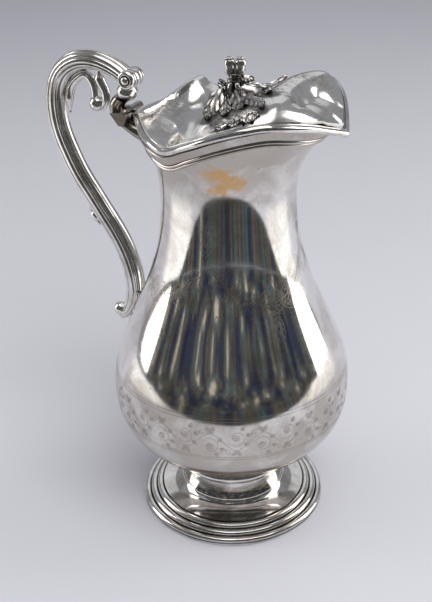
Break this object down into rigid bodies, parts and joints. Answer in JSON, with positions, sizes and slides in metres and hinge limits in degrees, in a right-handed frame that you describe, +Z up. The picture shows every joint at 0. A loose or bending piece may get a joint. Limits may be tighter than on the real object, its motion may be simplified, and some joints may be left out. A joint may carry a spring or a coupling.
{
  "type": "lidded jug",
  "caption": "Covered pear-shaped metal jug on a reeded round foot, with a spout, a scroll handle, a hinged shaped lid and a leaf finial, for serving drinks.",
  "frame": {"origin": "on the jug's axis, in the plane of the foot's lower face", "axes": "+Z up along the jug's axis, +X towards the spout, handle towards -X"},
  "size_m": [0.1646, 0.124, 0.2483],
  "materials": {
    "sheet_silver": "polished, lightly tarnished",
    "cast_silver": "polished, dark in the hollows",
    "hinge_silver": "dull and oxidised"
  },
  "bodies": {
    "jug": {"body_shell": "sheet_silver", "rim_moulding": "sheet_silver", "foot_collar": "sheet_silver", "foot_dome": "sheet_silver", "foot_ring": "sheet_silver", "handle_scroll": "cast_silver", "handle_volute": "cast_silver", "handle_inner_scroll": "cast_silver", "handle_arm": "cast_silver", "handle_bulb": "cast_silver", "handle_bud": "cast_silver", "handle_lower_curl": "cast_silver", "handle_lower_pad": "sheet_silver", "hinge_knuckles": "hinge_silver", "hinge_pin": "hinge_silver", "hinge_pin_caps": "hinge_silver"},
    "lid": {"lid_shell": "sheet_silver", "lid_rim_moulding": "sheet_silver", "lid_knuckle": "hinge_silver", "finial_leaves": "cast_silver", "finial_stem": "cast_silver", "finial_calyx": "cast_silver", "finial_buds": "cast_silver", "finial_stud": "hinge_silver", "finial_washer": "hinge_silver", "finial_nut": "hinge_silver"}
  },
  "joints": [
    {"name": "lid_hinge", "type": "hinge", "parent": "jug", "child": "lid", "pos_m": [-0.0522, 0, 0.21663], "axis": [0, -1, 0], "range_deg": [0, 45]}
  ]
}
